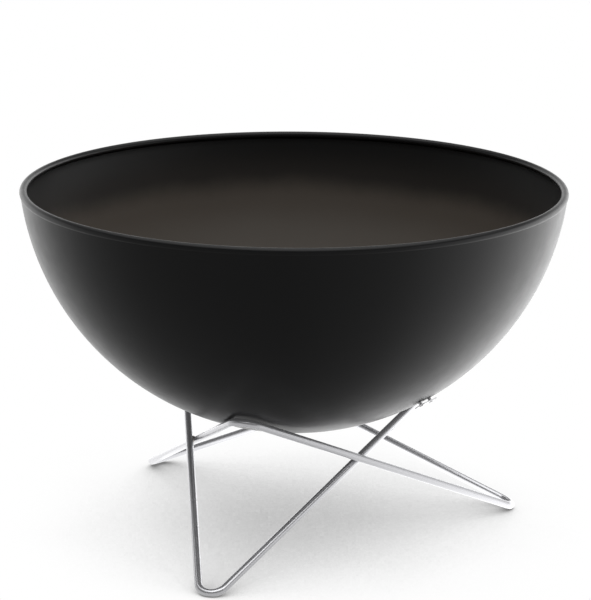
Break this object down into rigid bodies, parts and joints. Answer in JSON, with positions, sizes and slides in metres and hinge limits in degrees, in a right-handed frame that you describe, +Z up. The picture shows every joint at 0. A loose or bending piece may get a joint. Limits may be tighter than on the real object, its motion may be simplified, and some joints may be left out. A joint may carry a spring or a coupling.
{
  "type": "fire pit with grate",
  "caption": "Hemispherical enamelled fire bowl with a rolled rim, resting in a star-shaped stand bent from bright round rod, with a lift-out fire grate inside.",
  "frame": {"origin": "on the floor, on the bowl's axis, under its lowest point", "axes": "+Z up along the bowl's axis; +X to the right and +Y away, seen from the front, where one foot points forward and to the left"},
  "size_m": [0.57, 0.57, 0.3699],
  "materials": {
    "enamel": "black satin enamel on 2 mm steel, outside and inside",
    "stand_steel": "bright polished stainless round rod",
    "weld_metal": "cleaned stainless weld metal",
    "badge": "bright stainless, blank",
    "grate_steel": "dark mill-scale steel, browned by heat"
  },
  "bodies": {
    "stand": {"stand_rod_1": "stand_steel", "stand_rod_2": "stand_steel", "stand_rod_3": "stand_steel", "crossing_welds": "weld_metal"},
    "bowl": {"bowl_shell": "enamel", "badge_plate": "badge", "badge_studs": "badge"},
    "grate": {"grate_hoop": "grate_steel", "grate_bar_01": "grate_steel", "grate_bar_02": "grate_steel", "grate_bar_03": "grate_steel", "grate_bar_04": "grate_steel", "grate_bar_05": "grate_steel", "grate_bar_06": "grate_steel", "grate_bar_07": "grate_steel", "grate_bar_08": "grate_steel", "grate_bar_09": "grate_steel", "grate_bar_10": "grate_steel", "grate_bar_11": "grate_steel", "grate_cross_bar_1": "grate_steel", "grate_cross_bar_2": "grate_steel", "grate_lifting_loop_1": "grate_steel", "grate_lifting_loop_2": "grate_steel"}
  },
  "joints": [
    {"name": "bowl_lift", "type": "slide", "parent": "stand", "child": "bowl", "axis": [0, 0, 1], "range_m": [0, 0.2]},
    {"name": "grate_lift", "type": "slide", "parent": "bowl", "child": "grate", "axis": [0, 0, 1], "range_m": [0, 0.22]}
  ]
}
